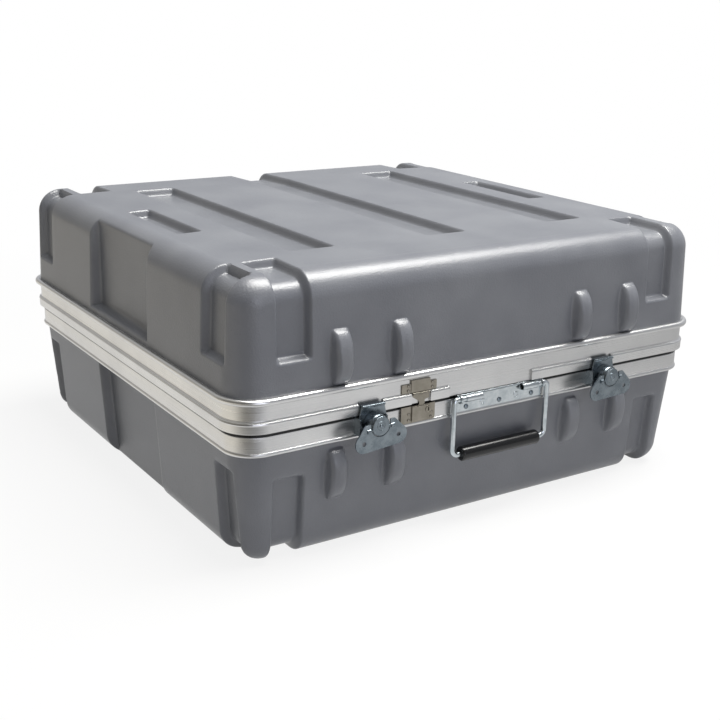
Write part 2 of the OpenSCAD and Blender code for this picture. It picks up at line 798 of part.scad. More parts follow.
// A quarter bend of the wire in the X-Z plane, from +X round to +Z
module wire_bend(r) {
    rotate([90, 0, 0]) rotate_extrude(angle = 90) translate([r, 0]) circle(r = wire_r);
}

// The bail: pivot ends in the sleeves, two arms, and the cross bar inside the grip
module bail() {
    arm = bail_w / 2;
    drop = bail_drop - bail_bend;
    color(zinc) at_front(handle_x, bail_t, bail_h) {
        for (sx = [0, 1]) mirror([sx, 0, 0]) {
            translate([sleeve_in, 0, 0]) rotate([0, 90, 0])
                cylinder(r = wire_r, h = arm - shoulder_r - sleeve_in);
            translate([arm - shoulder_r, 0, -shoulder_r]) wire_bend(shoulder_r);
            translate([arm, 0, -drop]) cylinder(r = wire_r, h = drop - shoulder_r);
            translate([arm - bail_bend, 0, -drop]) rotate([0, 90, 0]) wire_bend(bail_bend);
        }
        translate([0, 0, -bail_drop]) rotate([0, 90, 0])
            cylinder(r = wire_r, h = bail_w - 2 * bail_bend, center = true);
    }
}

module grip() {
    half = 53;
    color(rubber_black) difference() {
        at_front(handle_x, bail_t, bail_h - bail_drop) rotate([0, 90, 0]) union() {
            cylinder(r = grip_r, h = 2 * half - 4, center = true);
            for (sx = [-1, 1]) translate([0, 0, sx * (half - 2)]) rotate([90 - 90 * sx, 0, 0])
                cylinder(r1 = grip_r, r2 = grip_r - 1.6, h = 2);
        }
        at_front(handle_x, bail_t, bail_h - bail_drop) rotate([0, 90, 0])
            cylinder(r = wire_r + 0.04, h = 3 * half, center = true);
    }
}

// Stop hinges: a leaf on each band, knuckles beside each other, and a pin

module knuckle(x0, x1) {
    at_back(0, hinge_o - base_face, 0) translate([-x1, 0, 0]) rotate([0, 90, 0])
        cylinder(r = knuckle_r, h = x1 - x0);
}

module hinge_bore(x) {
    at_back(x, hinge_o - base_face, 0) rotate([0, 90, 0])
        cylinder(r = hinge_pin_r + 0.05, h = 80, center = true);
}

module hinge_base(x) {
    color(zinc) difference() {
        union() {
            back_box(x - hinge_half, x + hinge_half, 0, plate_t, latch_bottom, -1);
            for (sx = [-1, 1]) {
                a = x + sx * (hinge_half + knuckle_half + 0.2) / 2;
                w = (hinge_half - knuckle_half - 0.2) / 2;
                knuckle(a - w, a + w);
                back_box(a - w, a + w, 0, hinge_o - base_face, -knuckle_r, -1);
            }
        }
        back_box(x - knuckle_half - 0.2, x + knuckle_half + 0.2, plate_t, 20, -knuckle_r - 1, 6);
        hinge_bore(x);
        rivet_holes(hinge_base_rivet_at, x, true);
    }
}

module hinge_lid(x) {
    o = -base_face;
    color(zinc) difference() {
        union() {
            back_box(x - hinge_half, x + hinge_half, o, o + plate_t, 5, 27);
            back_box(x - knuckle_half + 0.1, x + knuckle_half - 0.1, o, o + plate_t, 1.5, 6);
            back_box(x - knuckle_half + 0.1, x + knuckle_half - 0.1, o, o + hinge_o, 1.5, knuckle_r);
            knuckle(x - knuckle_half + 0.1, x + knuckle_half - 0.1);
        }
        hinge_bore(x);
        rivet_holes(hinge_lid_rivet_at, x, true);
    }
}

module hinge_base_left() { hinge_base(-hinge_x); }
module hinge_base_right() { hinge_base(hinge_x); }
module hinge_lid_left() { hinge_lid(-hinge_x); }
module hinge_lid_right() { hinge_lid(hinge_x); }

module hinge_pins() {
    color(zinc) for (sx = [-1, 1])
        at_back(sx * hinge_x, hinge_o - base_face, 0) rotate([0, 90, 0])
            cylinder(r = hinge_pin_r, h = 2 * hinge_half + 2, center = true);
}

module hinge_base_rivets() {
    color(zinc) for (sx = [-1, 1], p = hinge_base_rivet_at)
        at_back(sx * hinge_x + p[0], 0, p[1]) rivet(plate_t, -sheet, 2.8);
}

module hinge_lid_rivets() {
    color(zinc) for (sx = [-1, 1], p = hinge_lid_rivet_at)
        at_back(sx * hinge_x + p[0], 0, p[1]) rivet(-base_face + plate_t, -base_face - sheet, 2.8);
}

base_shell();
base_valance();
lid_shell();
lid_valance();
lid_gasket();
base_foam_floor();
base_foam_front();
base_foam_back();
base_foam_left();
base_foam_right();
mic_strip_1();
mic_strip_2();
mic_strip_3();
mic_cells_1();
mic_cells_2();
mic_cells_3();
bay_divider();
lid_foam();
latch_body_left();
latch_body_right();
hook_left();
hook_right();
drum_left();
drum_right();
wing_pin_left();
wing_pin_right();
wing_left();
wing_right();
latch_rivets();
keeper_left();
keeper_right();
keeper_rivets();
lock_body();
lock_cylinder();
lock_rivets();
lock_strike();
strike_rivets();
handle_plate();
handle_rivets();
bail();
grip();
hinge_base_left();
hinge_base_right();
hinge_lid_left();
hinge_lid_right();
hinge_pins();
hinge_base_rivets();
hinge_lid_rivets();
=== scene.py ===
# %% [markdown]
# # A carrying case for microphones
#
# The object is a transit case. Two vacuum-formed plastic shells meet at a rim of aluminium
# extrusion, and zinc-plated hardware closes them. The moving frame comes from CAD, and this file
# gives it its surfaces and finishes. We load the frame first.

# %% Load the frame
import json
import math

import bmesh
import bpy
import numpy as np
from mathutils import Matrix, Vector


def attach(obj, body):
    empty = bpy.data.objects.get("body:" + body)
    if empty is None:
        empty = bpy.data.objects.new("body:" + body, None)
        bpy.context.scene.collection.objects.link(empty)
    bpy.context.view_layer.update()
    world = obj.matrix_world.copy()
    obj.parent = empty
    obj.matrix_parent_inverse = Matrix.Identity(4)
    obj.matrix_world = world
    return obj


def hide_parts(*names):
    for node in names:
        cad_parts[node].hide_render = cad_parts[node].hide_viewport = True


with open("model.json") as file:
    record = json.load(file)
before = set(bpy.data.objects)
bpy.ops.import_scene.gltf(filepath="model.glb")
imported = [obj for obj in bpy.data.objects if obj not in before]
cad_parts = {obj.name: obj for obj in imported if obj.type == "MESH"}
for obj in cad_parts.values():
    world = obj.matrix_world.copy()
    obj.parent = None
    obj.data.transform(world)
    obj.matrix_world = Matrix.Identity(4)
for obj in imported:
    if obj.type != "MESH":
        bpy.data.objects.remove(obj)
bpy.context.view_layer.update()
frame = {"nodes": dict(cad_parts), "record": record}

# %% [markdown]
# ## Camera
#
# The camera could be placed by eye, but then every part would land a few pixels off. It was
# worked out instead from about sixty points whose places on the case are known, so it needs no
# adjustment later: a 59 mm lens about 1.4 m away, looking down 18 degrees at the near corner.

# %% Camera
MM = 0.001
YAW, PITCH, ROLL = math.radians(33.26), math.radians(17.66), math.radians(1.27)
CAMERA_AT = (-0.7775, -1.2175, 0.5584)
look = Vector((math.sin(YAW) * math.cos(PITCH), math.cos(YAW) * math.cos(PITCH), -math.sin(PITCH)))
level = Vector((math.cos(YAW), -math.sin(YAW), 0))
right = level * math.cos(ROLL) + level.cross(look) * math.sin(ROLL)
up = right.cross(look)
camera = bpy.data.objects.new("camera", bpy.data.cameras.new("camera"))
bpy.context.scene.collection.objects.link(camera)
camera.matrix_world = (Matrix.Translation(CAMERA_AT)
                       @ Matrix((right, up, -look)).transposed().to_4x4())
camera.data.lens = 59.46
camera.data.sensor_width = 36
camera.data.clip_start, camera.data.clip_end = 0.05, 40
bpy.context.scene.camera = camera
print("camera looks along", [round(v, 3) for v in look])

# %% [markdown]
# ## From arrays to objects
#
# Every new piece below is a pair of arrays: points in millimetres, in the case's own frame, and
# quads that index them. One helper turns them into an object in metres whose origin stays at zero,
# and rides it on a body of the frame. Smooth shading with sharp edges above a chosen angle keeps
# fillets round and cut edges crisp.

# %% Mesh helpers
def piece(name, points, quads, body, material, slot, sharp=40):
    """Makes a mesh from points (mm) and quads and rides it on a body of the frame."""
    mesh = bpy.data.meshes.new(name)
    mesh.from_pydata((np.asarray(points, float) * MM).tolist(), [], np.asarray(quads).tolist())
    mesh.validate()
    mesh.materials.append(material)
    mesh.polygons.foreach_set("use_smooth", np.ones(len(mesh.polygons), bool))
    mesh.set_sharp_from_angle(angle=math.radians(sharp))
    obj = bpy.data.objects.new(name, mesh)
    bpy.context.scene.collection.objects.link(obj)
    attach(obj, body)
    return obj


def grid_quads(rows, cols, wrap_rows=False, wrap_cols=False):
    """Quads of a grid of rows by cols points, closed round in either direction if asked."""
    r = np.arange(rows if wrap_rows else rows - 1)[:, None]
    c = np.arange(cols if wrap_cols else cols - 1)[None, :]
    r2, c2 = (r + 1) % rows, (c + 1) % cols
    return np.stack([r * cols + c, r * cols + c2, r2 * cols + c2, r2 * cols + c], -1).reshape(-1, 4)


def joined(*parts):
    """Puts several (points, quads) pairs into one, shifting the later quads' indices."""
    points, quads, start = [], [], 0
    for p, q in parts:
        points.append(np.asarray(p, float))
        quads.append(np.asarray(q, int) + start)
        start += len(points[-1])
    return np.concatenate(points), np.concatenate(quads)


def eased(s, run=3.2, fillet=3.4):
    """A ramp from 0 at s = 0 to 1 at s = run, averaged over a window as wide as the fillet.

    The average of a ramp over a window is the difference of its running total at the window's
    two ends, divided by the window, and it turns both corners into smooth curves.
    """
    def total(t):
        return np.where(t < 0, 0, np.where(t < run, t * t / (2 * run), t - run / 2))
    s = np.asarray(s, float)
    return (total(s + fillet / 2) - total(s - fillet / 2)) / fillet


def lines_at(edges, outward, spread, limit):
    """Grid lines crowded at each edge, where the surface bends, with the ramp on one side."""
    out = [e + d * s for e, d in zip(edges, outward) for s in spread]
    out = np.array(out)
    return out[np.abs(out) < limit - 0.6]


def thinned(lines, least=0.45, most=14.0):
    """Sorts grid lines, drops those closer than the least step and fills gaps over the most."""
    keep = []
    for v in np.sort(np.asarray(lines, float)):
        if not keep or v - keep[-1] >= least:
            keep.append(v)
    out = [keep[0]]
    for v in keep[1:]:
        n = int(np.ceil((v - out[-1]) / most))
        out.extend(out[-1] + (v - out[-1]) * np.arange(1, n + 1) / n)
    return np.array(out)

# %% [markdown]
# ## Finishes
#
# Each material starts from what the real one is. The plastic is ABS sheet drawn over a mould with
# a haircell grain, the rim is satin anodised aluminium, the latches are zinc-plated steel pressings
# and the lock is nickel plated. All patterns are made from noise in object coordinates at a real
# size, so they stay put when a lid opens. One function turns sRGB hex to linear, and one adds a
# node with its settings and links.

# %% Material helpers
def srgb(code):
    """Turns a hex colour such as '#6e6f73' into linear red, green, blue and an alpha of 1."""
    c = [int(code[i:i + 2], 16) / 255 for i in (1, 3, 5)]
    return [v / 12.92 if v <= 0.04045 else ((v + 0.055) / 1.055) ** 2.4 for v in c] + [1.0]


def node(tree, kind, inputs=None, **settings):
    """Adds one node: settings are its properties, inputs are values or sockets to link from."""
    n = tree.nodes.new(kind)
    for key, value in settings.items():
        setattr(n, key, value)
    for key, value in (inputs or {}).items():
        if isinstance(value, bpy.types.NodeSocket):
            tree.links.new(value, n.inputs[key])
        else:
            n.inputs[key].default_value = value
    return n


def new_material(name):
    """An empty material with a Principled shader, returned with its node tree and coordinates."""
    mat = bpy.data.materials.new(name)
    mat.use_nodes = True
    tree = mat.node_tree
    tree.nodes.clear()
    shader = tree.nodes.new("ShaderNodeBsdfPrincipled")
    out = tree.nodes.new("ShaderNodeOutputMaterial")
    tree.links.new(shader.outputs["BSDF"], out.inputs["Surface"])
    where = tree.nodes.new("ShaderNodeTexCoord").outputs["Object"]
    return mat, tree, shader, where


def ramp(tree, fac, stops):
    """A colour ramp from (place, colour) stops, read by a 0 to 1 value."""
    n = node(tree, "ShaderNodeValToRGB", {"Fac": fac})
    while len(n.color_ramp.elements) < len(stops):
        n.color_ramp.elements.new(0.5)
    for e, (place, colour) in zip(n.color_ramp.elements, stops):
        e.position, e.color = place, colour
    return n.outputs["Color"]

# %% [markdown]
# ABS sheet takes its grain from the sheet, not from the mould. Haircell is a net of shallow pits
# about 0.8 mm apart, which at this distance only breaks up the highlights, so it is drawn at
# 1.6 mm. Handling leaves faint cloudy patches of shine, which a slow noise gives.

# %% Moulded ABS
def moulded_abs():
    """Grey ABS with a haircell bump and cloudy patches of tone and shine."""
    mat, tree, shader, where = new_material("haircell_ABS")
    pits = node(tree, "ShaderNodeTexVoronoi", {"Vector": where, "Scale": 620.0, "Randomness": 1.0},
                feature="SMOOTH_F1")
    grain = node(tree, "ShaderNodeTexNoise", {"Vector": where, "Scale": 900.0, "Detail": 3.0})
    cloud = node(tree, "ShaderNodeTexNoise", {"Vector": where, "Scale": 14.0, "Detail": 4.0})
    tone = ramp(tree, cloud.outputs["Fac"], [(0.3, srgb("#5d5f65")), (0.72, srgb("#696b70"))])
    tree.links.new(tone, shader.inputs["Base Color"])
    rough = node(tree, "ShaderNodeMapRange", {"Value": cloud.outputs["Fac"], "To Min": 0.29,
                                              "To Max": 0.35})
    tree.links.new(rough.outputs["Result"], shader.inputs["Roughness"])
    height = node(tree, "ShaderNodeMath", {0: pits.outputs["Distance"], 1: grain.outputs["Fac"]},
                  operation="ADD")
    bump = node(tree, "ShaderNodeBump", {"Height": height.outputs[0], "Strength": 0.42,
                                         "Distance": 0.0004})
    tree.links.new(bump.outputs["Normal"], shader.inputs["Normal"])
    shader.inputs["IOR"].default_value = 1.53
    shader.inputs["Specular IOR Level"].default_value = 0.62
    return mat


abs_plastic = moulded_abs()

# %% [markdown]
# Extruded aluminium carries fine die lines along its length, and anodising makes it satin. The
# lines run round the case, so they vary quickly with height and slowly along it: the same noise
# with the height stretched. The narrow gap between the rims lets hardly any light out, so the base
# rim's metal is painted black there as shade, over the height of that gap. Handle and bail have
# brighter zinc than the latches.

# %% Satin aluminium, zinc plate and nickel plate
def plated(name, dark, light, rough, lines=None, mottled=90.0, seam=False, relief=0.12):
    """A metal with cloudy tone, and die or brush lines if their stretch (x, y, z) is given.

    With seam on, the rebate where the halves meet is painted black as shade, not metal, from 143 to
    148 mm up. The ramp covers the heights from 140 to 150 mm.
    """
    mat, tree, shader, where = new_material(name)
    cloud = node(tree, "ShaderNodeTexNoise", {"Vector": where, "Scale": mottled, "Detail": 5.0,
                                              "Roughness": 0.6})
    tone = ramp(tree, cloud.outputs["Fac"], [(0.32, srgb(dark)), (0.68, srgb(light))])
    shader.inputs["Metallic"].default_value = 1.0
    if seam:
        # painted shade: the rebate under the seam is painted near-black and not metal, for the
        # shade in the narrow gap
        apart = node(tree, "ShaderNodeSeparateXYZ", {"Vector": where})
        up = node(tree, "ShaderNodeMapRange", {"Value": apart.outputs["Z"], "From Min": 0.140,
                                               "From Max": 0.150})
        shade = ramp(tree, up.outputs["Result"], [(0.31, srgb("#000000")), (0.34, srgb("#ffffff")),
                                                  (0.76, srgb("#ffffff")), (0.77, srgb("#000000"))])
        tone = node(tree, "ShaderNodeMix", {0: shade, "A": tone, "B": srgb("#08080a")},
                    data_type="RGBA").outputs[2]
        metal = node(tree, "ShaderNodeMath", {0: 1.0, 1: shade}, operation="SUBTRACT")
        tree.links.new(metal.outputs[0], shader.inputs["Metallic"])
    tree.links.new(tone, shader.inputs["Base Color"])
    if lines:
        stretch = node(tree, "ShaderNodeMapping", {"Vector": where, "Scale": lines})
        fine = node(tree, "ShaderNodeTexNoise", {"Vector": stretch.outputs["Vector"], "Scale": 1.0,
                                                 "Detail": 3.0})
        source = fine.outputs["Fac"]
    else:
        source = cloud.outputs["Fac"]
    spread = node(tree, "ShaderNodeMapRange", {"Value": source, "From Min": 0.3, "From Max": 0.7,
                                               "To Min": rough - 0.05, "To Max": rough + 0.07})
    tree.links.new(spread.outputs["Result"], shader.inputs["Roughness"])
    bump = node(tree, "ShaderNodeBump", {"Height": source, "Strength": relief, "Distance": 0.0002})
    tree.links.new(bump.outputs["Normal"], shader.inputs["Normal"])
    return mat


DIE_LINES = (5.0, 5.0, 1500.0)
aluminium = plated("satin_anodised_aluminium", "#d6d6d6", "#e2e2e1", 0.30, DIE_LINES, 14.0,
                   relief=0.05)
# the base rim's aluminium, with painted shade in the rebate under the seam
aluminium_with_seam_shade = plated("aluminium_with_painted_seam_shade", "#d6d6d6", "#e2e2e1", 0.30, DIE_LINES, 14.0,
                        seam=True, relief=0.05)
zinc = plated("zinc_plated_steel", "#6f7980", "#929ba1", 0.27)
bright_zinc = plated("bright_zinc_plate", "#bcc4c8", "#dbe1e4", 0.2)
nickel = plated("satin_nickel_plate", "#8e897e", "#a59f94", 0.32)

# %% [markdown]
# The grip is smooth PVC over the wire, so it is dark and glossy. The gasket is cellular rubber,
# and the insert is open-cell polyurethane foam: matt, with pores about a millimetre across.

# %% Rubber and foam
def dark_polymer(name, tone, rough, coat=0.0):
    """A plain dark polymer with a cloudy shine, and a glossy coat of the given weight."""
    mat, tree, shader, where = new_material(name)
    cloud = node(tree, "ShaderNodeTexNoise", {"Vector": where, "Scale": 60.0, "Detail": 3.0})
    spread = node(tree, "ShaderNodeMapRange", {"Value": cloud.outputs["Fac"],
                                               "To Min": rough - 0.06, "To Max": rough + 0.08})
    tree.links.new(spread.outputs["Result"], shader.inputs["Roughness"])
    shader.inputs["Base Color"].default_value = srgb(tone)
    shader.inputs["Coat Weight"].default_value = coat
    shader.inputs["Coat Roughness"].default_value = 0.12
    return mat


def open_cell_foam():
    """Charcoal foam whose pores are Voronoi cells in bump, each pit darkened by painted shade."""
    mat, tree, shader, where = new_material("polyurethane_foam")
    pores = node(tree, "ShaderNodeTexVoronoi", {"Vector": where, "Scale": 850.0})
    # painted shade: each pore is darker towards its pit, where the bump sinks deepest
    tone = ramp(tree, pores.outputs["Distance"], [(0.1, srgb("#1c1d20")), (0.55, srgb("#3c3d42"))])
    tree.links.new(tone, shader.inputs["Base Color"])
    bump = node(tree, "ShaderNodeBump", {"Height": pores.outputs["Distance"], "Strength": 0.6,
                                         "Distance": 0.0006})
    tree.links.new(bump.outputs["Normal"], shader.inputs["Normal"])
    shader.inputs["Roughness"].default_value = 0.95
    shader.inputs["Sheen Weight"].default_value = 0.2
    return mat


grip_pvc = dark_polymer("smooth_black_PVC", "#09090a", 0.2, 0.1)
gasket_rubber = dark_polymer("cellular_rubber", "#202021", 0.7)
foam = open_cell_foam()

# %% [markdown]
# ## The case's outline
#
# Both shells and both rims follow one outline seen from above: a rectangle of 610 by 580 mm with
# 35 mm corners. We walk round it once and note at each station a base point on the inner
# rectangle through the corner centres and the direction outwards. Along a straight side the base
# point moves, and round a corner only the direction turns. A profile of (distance out, height)
# points carried round these stations gives every surface of the case.

# %% Outline stations
SEAM, HALF_W, HALF_D, CORNER = 148.0, 305.0, 290.0, 35.0
CORE = np.array([HALF_W - CORNER, HALF_D - CORNER])


def stations(xs, ys, turns=24):
    """Base points, directions and inward shifts round the outline, counter-clockwise.

    xs and ys are the grid lines of the front and side walls. A straight station shifts only
    across its wall, a corner station in both directions, so that a narrower core still closes.
    """
    base, away, shift = [], [], []
    for quarter in range(4):
        a = math.radians(90 * quarter - 90)
        out = np.array([math.cos(a), math.sin(a)])
        along = np.array([-out[1], out[0]])
        inner = xs if quarter % 2 == 0 else ys
        reach, side = (CORE[1], CORE[0]) if quarter % 2 == 0 else (CORE[0], CORE[1])
        for v in inner:
            base.append(out * reach + along * v)
            away.append(out)
            shift.append(out)
        for k in range(turns + 1):
            b = a + math.radians(90) * k / turns
            base.append(out * reach + along * side)
            away.append(np.array([math.cos(b), math.sin(b)]))
            shift.append(out + along)
    return np.array(base), np.array(away), np.array(shift)


print("outline", len(stations(np.array([0.0]), np.array([0.0]))[0]), "stations at least")

# %% [markdown]
# ## The moulded shells
#
# Each shell could be boxes and cutters, as in CAD, but a vacuum-formed sheet has no sharp edge
# anywhere. So the shell is a smooth skin, a plate in the middle and a profile carried round the
# outline, and every channel is a depth by which the skin sinks along its normal. The depth is a
# product of eased ramps, one for each edge of the channel, and grid lines are crowded at those
# edges so that the fillets come out round. The half-moon bumpers are the same idea with the sign
# turned: a power curve gives the arc's height, full at the ends as the real ones are.

# %% Channel and bumper functions
DEPTH, WALL = 9.0, 4.0


def band(v, low, high):
    """1 inside the band from low to high and 0 outside, with eased edges inside the band."""
    return eased(v - low) * eased(high - v)


def bumper(x, h, centre_h, proj=14.0, chord=56.0):
    """Height over the wall of a half-moon guard with full, rounded ends.

    The rim stands proj out in the middle and meets the wall over the chord. It drops with
    distance from the middle plane, first along a bevel, then along the drafted side.
    """
    t = np.abs(h - centre_h) / (chord / 2)
    crest = proj * (1 - np.minimum(t, 1) ** 2.4) ** 0.62 - 6 * np.maximum(t - 1, 0)
    drop = np.interp(np.abs(x), [0, 5.6, 6.8, 8.6, 11.8, 30], [0, 0.15, 0.8, 2.8, proj, proj + 60])
    lift = crest - drop
    blend = 0.4
    return 0.5 * (lift + np.sqrt(lift * lift + blend)) * (lift > -6)


def soft_min(a, b, width=1.2):
    """The lesser of a and b, with the corner between them rounded over about the width."""
    return 0.5 * (a + b - np.sqrt((a - b) ** 2 + width * width))


BUMPER_X = [s * 156 + d * 35.5 for s in (-1, 1) for d in (-1, 1)]
LID_BUMPER_H, BASE_BUMPER_H = 64.0, -61.0
SPREAD = np.array([-2.2, -1.3, -0.5, 0.4, 1.5, 2.6, 3.6, 4.4, 5.2])
BUMP_SPREAD = np.array([-13.5, -12.3, -11.4, -10.5, -9.6, -8.6, -7.6, -6.7, -5.8, 0,
                        5.8, 6.7, 7.6, 8.6, 9.6, 10.5, 11.4, 12.3, 13.5])

# %% [markdown]
# The lid has four long channels over its edges near the corners of each wall, a wide recess in
# each side wall, two closed channels and an open one along the top, and two short pockets.

# %% Depth maps of the lid and the base
GROOVE = (223, 261)        # the lid's corner grooves, across x in the front and back walls
SIDE_GROOVE = (213, 261)   # and across y in the side walls
BASE_GROOVE = (226, 261)   # the base's, in all four walls
GROOVE_IN = 215            # a groove in a front or back wall ends over the plate at this |y|
LID_FOOT, LID_SIDE_FOOT, BASE_FOOT, BASE_SIDE_FOOT = 66, 64, -55, -45
CHANNEL, CHANNEL_END = (144, 196), 198     # the two long closed channels along the top
POCKET_X, POCKET_Y = (230.5, 257.5), (-66, 74)
CENTRE = 26                # half the width of the open channel that runs over the back edge


def lid_sink(x, y, h, front, corner):
    """How far the lid's skin sinks along its normal at each point, in mm."""
    ax, ay = np.abs(x), np.abs(y)
    depth = band(ax, *GROOVE) * eased(ay - GROOVE_IN) * eased(h - LID_FOOT) * ~corner
    depth = np.maximum(depth, band(ay, *SIDE_GROOVE) * eased(h - LID_SIDE_FOOT)
                       * eased(ax - 273, 2.0, 1.6))
    top = (ax < 271) & (ay < 256) & (h > 140)
    flat = band(ax, *CHANNEL) * eased(CHANNEL_END - ay)
    flat = np.maximum(flat, band(ax, *POCKET_X) * eased(POCKET_Y[1] - y) * eased(y - POCKET_Y[0]))
    depth = np.maximum(depth, flat * top)
    centre = band(x, -CENTRE, CENTRE) * eased(y + CHANNEL_END) * ~front * eased(h - LID_FOOT)
    return np.maximum(depth, centre) * DEPTH


def base_sink(x, y, h, front, corner):
    """How far the base's skin sinks: channels near the corners, open through the bottom edge."""
    ax, ay = np.abs(x), np.abs(y)
    depth = band(ax, *BASE_GROOVE) * eased(ay - GROOVE_IN) * eased(BASE_FOOT - h) * ~corner
    depth = np.maximum(depth, band(ay, *BASE_GROOVE) * eased(BASE_SIDE_FOOT - h)
                       * eased(ax - 268, 2.0, 1.6))
    return depth * DEPTH

# %% [markdown]
# The skin itself is one function for both shells. The profile starts at the flat plate, turns
# over the large edge radius and runs down the drafted wall. The plate is a grid of the same lines,
# so that it meets the walls point for point. The inner face is the same skin set in by the wall.

# %% The skin
def skin(xs, ys, profile, sink, bumps, recess, inset=0.0):
    """Points and quads of one shell face.

    profile holds rows of (distance out, height, normal out, normal up, core inset). A point is
    base + direction * distance, moved along the normal by minus the sink. bumps is the height of
    the bumpers' middle, or None for a face without them. recess gives the distance of the side
    walls' recess floor. The lid's plate also rises 1.5 mm towards its middle, as sheet does.
    """
    base, away, shift = stations(xs, ys)
    r, h, nr, nh, core = profile.T
    hh = h[None, :] - nh[None, :] * inset
    rr = r[None, :] - nr[None, :] * inset
    xy = (base[:, None, :] - shift[:, None, :] * core[None, :, None]
          + away[:, None, :] * rr[..., None])
    hh = np.broadcast_to(hh, xy.shape[:2]).copy()
    corner = (np.abs(base) > CORE - 0.01).all(-1) & (np.abs(away).min(-1) > 1e-6)
    corner = np.broadcast_to(corner[:, None], hh.shape)
    front = np.broadcast_to(away[:, None, 1] < -0.5, hh.shape)
    skin_xy = xy + away[:, None, :] * (nr[None, :, None] * inset)
    skin_h = hh + nh[None, :] * inset
    d = sink(skin_xy[..., 0], skin_xy[..., 1], skin_h, front, corner)
    if bumps is not None:
        wall = np.abs(away[:, None, 1]) > 0.99
        for bx in BUMPER_X:
            d = d - np.where(wall, bumper(skin_xy[..., 0] - bx, skin_h, bumps), 0)
    xy = xy - away[:, None, :] * (nr[None, :, None] * d[..., None])
    hh = hh - nh[None, :] * d
    x_wall = recess(skin_xy[..., 1], skin_h) - inset
    side = np.sign(xy[..., 0])
    flat_x = np.where(np.abs(skin_xy[..., 1]) < 110, soft_min(np.abs(xy[..., 0]), x_wall),
                      np.abs(xy[..., 0]))
    xy[..., 0] = np.where(np.abs(away[:, None, 0]) > 0.99, side * flat_x, xy[..., 0])
    points = np.concatenate([xy, hh[..., None]], -1)
    quads = grid_quads(*hh.shape, wrap_rows=True)
    edge = [np.concatenate([[-1], xs, [1]]), np.concatenate([[-1], ys, [1]])]
    edge[0][[0, -1]] = [-CORE[0] + core[0], CORE[0] - core[0]]
    edge[1][[0, -1]] = [-CORE[1] + core[0], CORE[1] - core[0]]
    px, py = np.meshgrid(*edge, indexing="ij")
    ph = np.full_like(px, h[0])
    pd = sink(px, py, ph, np.zeros(px.shape, bool), np.zeros(px.shape, bool))
    crown = np.clip((CORE[0] - np.abs(px)) / 60, 0, 1) * np.clip((CORE[1] - np.abs(py)) / 60, 0, 1)
    crown = 1.5 * crown * (h[0] > 0)
    plate = np.stack([px, py, ph + nh[0] * (crown - inset - pd)], -1)
    plate_quads = grid_quads(*px.shape)
    if nh[0] < 0:
        plate_quads = plate_quads[:, ::-1]
        quads = quads[:, ::-1]
    return joined((points.reshape(-1, 3), quads), (plate.reshape(-1, 3), plate_quads))


def merged(points, quads, digits=3):
    """Welds points that coincide, so that the plate and the walls are one surface."""
    key = np.round(points, digits)
    _, first, index = np.unique(key, axis=0, return_index=True, return_inverse=True)
    return points[first], index.reshape(-1)[quads]


def wall_profile(edge_r, plate_h, rim_r, foot_r, foot_h, feature_lines, core_end=0.0):
    """Rows of a shell's profile: plate edge, quarter turn of the edge radius, drafted wall, foot.

    rim_r is the wall's distance out where the edge radius begins, and foot_r at the foot.
    """
    up = 1.0 if plate_h > foot_h else -1.0
    rows = [(0.0, plate_h, 0.0, up, core_end)]
    flat = rim_r - edge_r
    for v in np.linspace(0, flat, 3)[1:]:
        rows.append((v, plate_h, 0.0, up, core_end))
    for a in np.linspace(0, math.pi / 2, 19)[1:]:
        rows.append((flat + edge_r * math.sin(a), plate_h - up * edge_r * (1 - math.cos(a)),
                     math.sin(a), up * math.cos(a), core_end))
    start_h = plate_h - up * edge_r
    for v in thinned([start_h - up * 2, foot_h] + list(feature_lines), 0.8, 6.0)[::int(-up)]:
        if up * (start_h - v) < 0.4:
            continue
        t = (start_h - v) / (start_h - foot_h)
        rows.append((rim_r + (foot_r - rim_r) * t, v, 1.0, 0.0, core_end * (1 - t)))
    return np.array(rows)


def both_sides(low, high, limit):
    """Grid lines at the edges of the band from low to high and of its mirror image."""
    return lines_at([low, high, -low, -high], [1, -1, -1, 1], SPREAD, limit)


RECESS_HALF = 84.0
RECESS_SPREAD = np.array([-2, -1, 0, 1, 2.5, 4, 5, 6, 7, 8, 9.5])
lid_x = thinned(np.concatenate([
    both_sides(*GROOVE, CORE[0]), both_sides(*CHANNEL, CORE[0]), both_sides(*POCKET_X, CORE[0]),
    lines_at([CENTRE, -CENTRE], [-1, 1], SPREAD, CORE[0]),
    lines_at(BUMPER_X, [1] * 4, BUMP_SPREAD, CORE[0]), [-CORE[0] + 2, 0, CORE[0] - 2]]))
lid_y = thinned(np.concatenate([
    lines_at([GROOVE_IN, SIDE_GROOVE[0], -GROOVE_IN, -SIDE_GROOVE[0]], [1, 1, -1, -1], SPREAD,
             CORE[1]),
    lines_at([CHANNEL_END, -CHANNEL_END, POCKET_Y[1], POCKET_Y[0]], [-1, 1, -1, 1], SPREAD,
             CORE[1]),
    lines_at([RECESS_HALF, -RECESS_HALF], [-1, 1], RECESS_SPREAD, CORE[1]),
    [-CORE[1] + 2, 0, CORE[1] - 2]]))
print("lid grid lines", len(lid_x), len(lid_y))

# %% Shells from an outer and an inner face
RECESS_DEPTH = 13.0


def recess_back(y, foot):
    """How far a recess floor steps back out at its ends and at its foot (foot grows inwards)."""
    return RECESS_DEPTH * np.maximum(1 - eased(RECESS_HALF - np.abs(y), 7.0, 3.0),
                                     1 - eased(foot, 3.5, 2.5))


def moulding(name, xs, ys, outer, inner, sink, bumps, recess, body):
    """Welds a fine outer face and a coarse inner face, set in by the wall, into one shell."""
    outside = skin(xs, ys, outer, sink, bumps, recess)
    points, quads = skin(xs[::2], ys[::2], inner, sink, None, recess, WALL)
    points, quads = merged(*joined(outside, (points, quads[:, ::-1])))
    points[:, 2] += SEAM
    print(name, len(quads), "faces")
    return piece(name, points, quads, body, abs_plastic, "shell_plastic", 60)

